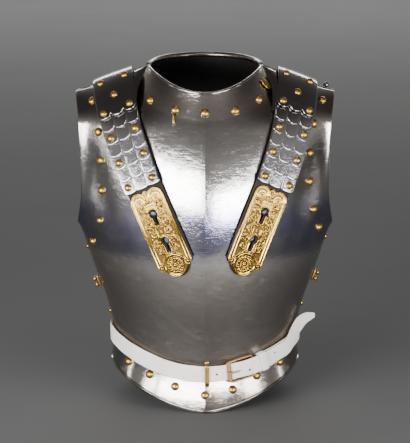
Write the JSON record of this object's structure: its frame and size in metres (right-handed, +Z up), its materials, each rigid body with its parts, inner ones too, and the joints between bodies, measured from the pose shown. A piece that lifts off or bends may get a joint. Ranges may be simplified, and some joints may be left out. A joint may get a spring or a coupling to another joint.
{
  "type": "cuirass",
  "caption": "Cavalry cuirass: ridged steel breastplate and backplate, straps of overlapping steel scales with brass end plates, brass rivets and a white leather waist belt.",
  "frame": {"origin": "centre of the footprint, on the surface that the lower edges stand on", "axes": "+Z up, the ridged front faces -Y, the viewer's right is +X"},
  "size_m": [0.354, 0.2761, 0.4675],
  "materials": {
    "steel": "polished",
    "brass": "satin",
    "brown_leather": "matte",
    "white_leather": "matte",
    "rusty_iron": "matte"
  },
  "bodies": {
    "root": {"breastplate": "steel", "backplate": "steel", "rivet_neck_1": "brass", "rivet_neck_2": "brass", "rivet_neck_3": "brass", "rivet_neck_4": "brass", "rivet_neck_5": "brass", "rivet_arm_left_1": "brass", "rivet_arm_left_2": "brass", "rivet_arm_left_3": "brass", "rivet_arm_left_4": "brass", "rivet_arm_left_5": "brass", "rivet_arm_left_6": "brass", "rivet_arm_right_1": "brass", "rivet_arm_right_2": "brass", "rivet_arm_right_3": "brass", "rivet_arm_right_4": "brass", "rivet_arm_right_5": "brass", "rivet_arm_right_6": "brass", "rivet_skirt_1": "brass", "rivet_skirt_2": "brass", "rivet_skirt_3": "brass", "rivet_skirt_4": "brass", "rivet_skirt_5": "brass", "rivet_skirt_6": "brass", "rivet_skirt_7": "brass", "strap_leather_left": "brown_leather", "scale_left_1": "steel", "scale_left_2": "steel", "scale_left_3": "steel", "scale_left_4": "steel", "scale_left_5": "steel", "scale_left_6": "steel", "shoulder_cap_left": "steel", "end_plate_left": "brass", "stud_left": "steel", "strap_leather_right": "brown_leather", "scale_right_1": "steel", "scale_right_2": "steel", "scale_right_3": "steel", "scale_right_4": "steel", "scale_right_5": "steel", "scale_right_6": "steel", "shoulder_cap_right": "steel", "end_plate_right": "brass", "stud_right": "steel", "belt_long": "white_leather", "belt_short": "white_leather", "buckle_frame": "rusty_iron", "buckle_tongue": "rusty_iron", "belt_keeper": "white_leather", "belt_loop": "brass", "neck_badge": "brass", "side_catch_left": "brass", "side_catch_right": "brass"}
  },
  "joints": []
}
